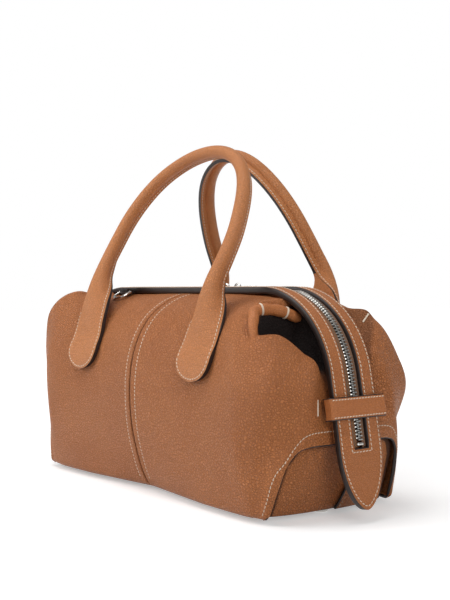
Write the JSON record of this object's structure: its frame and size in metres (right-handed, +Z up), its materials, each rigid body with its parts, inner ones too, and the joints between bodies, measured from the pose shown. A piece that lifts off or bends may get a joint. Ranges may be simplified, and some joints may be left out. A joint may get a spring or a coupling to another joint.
{
  "type": "leather shopper bag",
  "caption": "Compact zip-top leather shopper bag with rolled twin handles on patches, folded end gussets, a zip strap ending in tongues under keepers, and metal feet.",
  "frame": {"origin": "on the surface it stands on, under the middle of the bag", "axes": "+X along the zip to the right of the front, -Y towards the front, +Z up"},
  "size_m": [0.3564, 0.1474, 0.2674],
  "materials": {
    "tan_leather": "pebbled tan cowhide, soft sheen, dark painted cut edges, white stitching",
    "silver_metal": "polished silver-coloured zip hardware, rings and feet",
    "zip_tape": "woven tan zip tape",
    "lining_cloth": "plain woven lining",
    "stiff_board": "stiffening board inside the bottom"
  },
  "bodies": {
    "bag": {"front_panel_left": "tan_leather", "front_panel_right": "tan_leather", "rear_panel_left": "tan_leather", "rear_panel_right": "tan_leather", "end_leaf_left_inner": "tan_leather", "end_leaf_left_outer": "tan_leather", "end_leaf_right_inner": "tan_leather", "end_leaf_right_outer": "tan_leather", "base_panel": "tan_leather", "base_board": "stiff_board", "lining": "lining_cloth", "zip_strap": "tan_leather", "zip_stringer_front": "zip_tape", "zip_stringer_rear": "zip_tape", "zip_stop_left": "silver_metal", "zip_stop_right": "silver_metal", "keeper_left": "tan_leather", "keeper_right": "tan_leather", "handle_patch_front_left": "tan_leather", "handle_patch_front_right": "tan_leather", "handle_patch_rear_left": "tan_leather", "handle_patch_rear_right": "tan_leather", "chape_front": "tan_leather", "chape_rear": "tan_leather", "foot_stud_front_left": "silver_metal", "foot_stud_front_right": "silver_metal", "foot_stud_rear_left": "silver_metal", "foot_stud_rear_right": "silver_metal", "foot_stud_left_end": "silver_metal", "foot_stud_right_end": "silver_metal"},
    "front_handle": {"handle_front": "tan_leather"},
    "rear_handle": {"handle_rear": "tan_leather"},
    "slider_left": {"slider_left": "silver_metal"},
    "slider_right": {"slider_right": "silver_metal"},
    "pull_left": {"pull_left": "silver_metal"},
    "pull_right": {"pull_right": "silver_metal"},
    "ring_front": {"d_ring_front": "silver_metal"},
    "ring_rear": {"d_ring_rear": "silver_metal"}
  },
  "joints": [
    {"name": "front_handle_swing", "type": "hinge", "parent": "bag", "child": "front_handle", "pos_m": [0, -0.0622, 0.12], "axis": [1, 0, 0], "range_deg": [0, 120]},
    {"name": "rear_handle_swing", "type": "hinge", "parent": "bag", "child": "rear_handle", "pos_m": [0, 0.0622, 0.12], "axis": [-1, 0, 0], "range_deg": [0, 88]},
    {"name": "left_slider_run", "type": "slide", "parent": "bag", "child": "slider_left", "axis": [-1, 0, 0], "range_m": [0, 0.114]},
    {"name": "right_slider_run", "type": "slide", "parent": "bag", "child": "slider_right", "axis": [1, 0, 0], "range_m": [0, 0.045]},
    {"name": "left_pull_lift", "type": "hinge", "parent": "slider_left", "child": "pull_left", "pos_m": [0.0274, 0, 0.1547], "axis": [0, 1, 0], "range_deg": [0, 100]},
    {"name": "right_pull_lift", "type": "hinge", "parent": "slider_right", "child": "pull_right", "pos_m": [0.0416, 0, 0.1547], "axis": [0, -1, 0], "range_deg": [0, 100]},
    {"name": "front_ring_swing", "type": "hinge", "parent": "bag", "child": "ring_front", "pos_m": [-0.076, -0.0262, 0.1509], "axis": [-1, 0, 0], "range_deg": [0, 100]},
    {"name": "rear_ring_swing", "type": "hinge", "parent": "bag", "child": "ring_rear", "pos_m": [0.076, 0.0262, 0.1509], "axis": [1, 0, 0], "range_deg": [0, 100]}
  ]
}
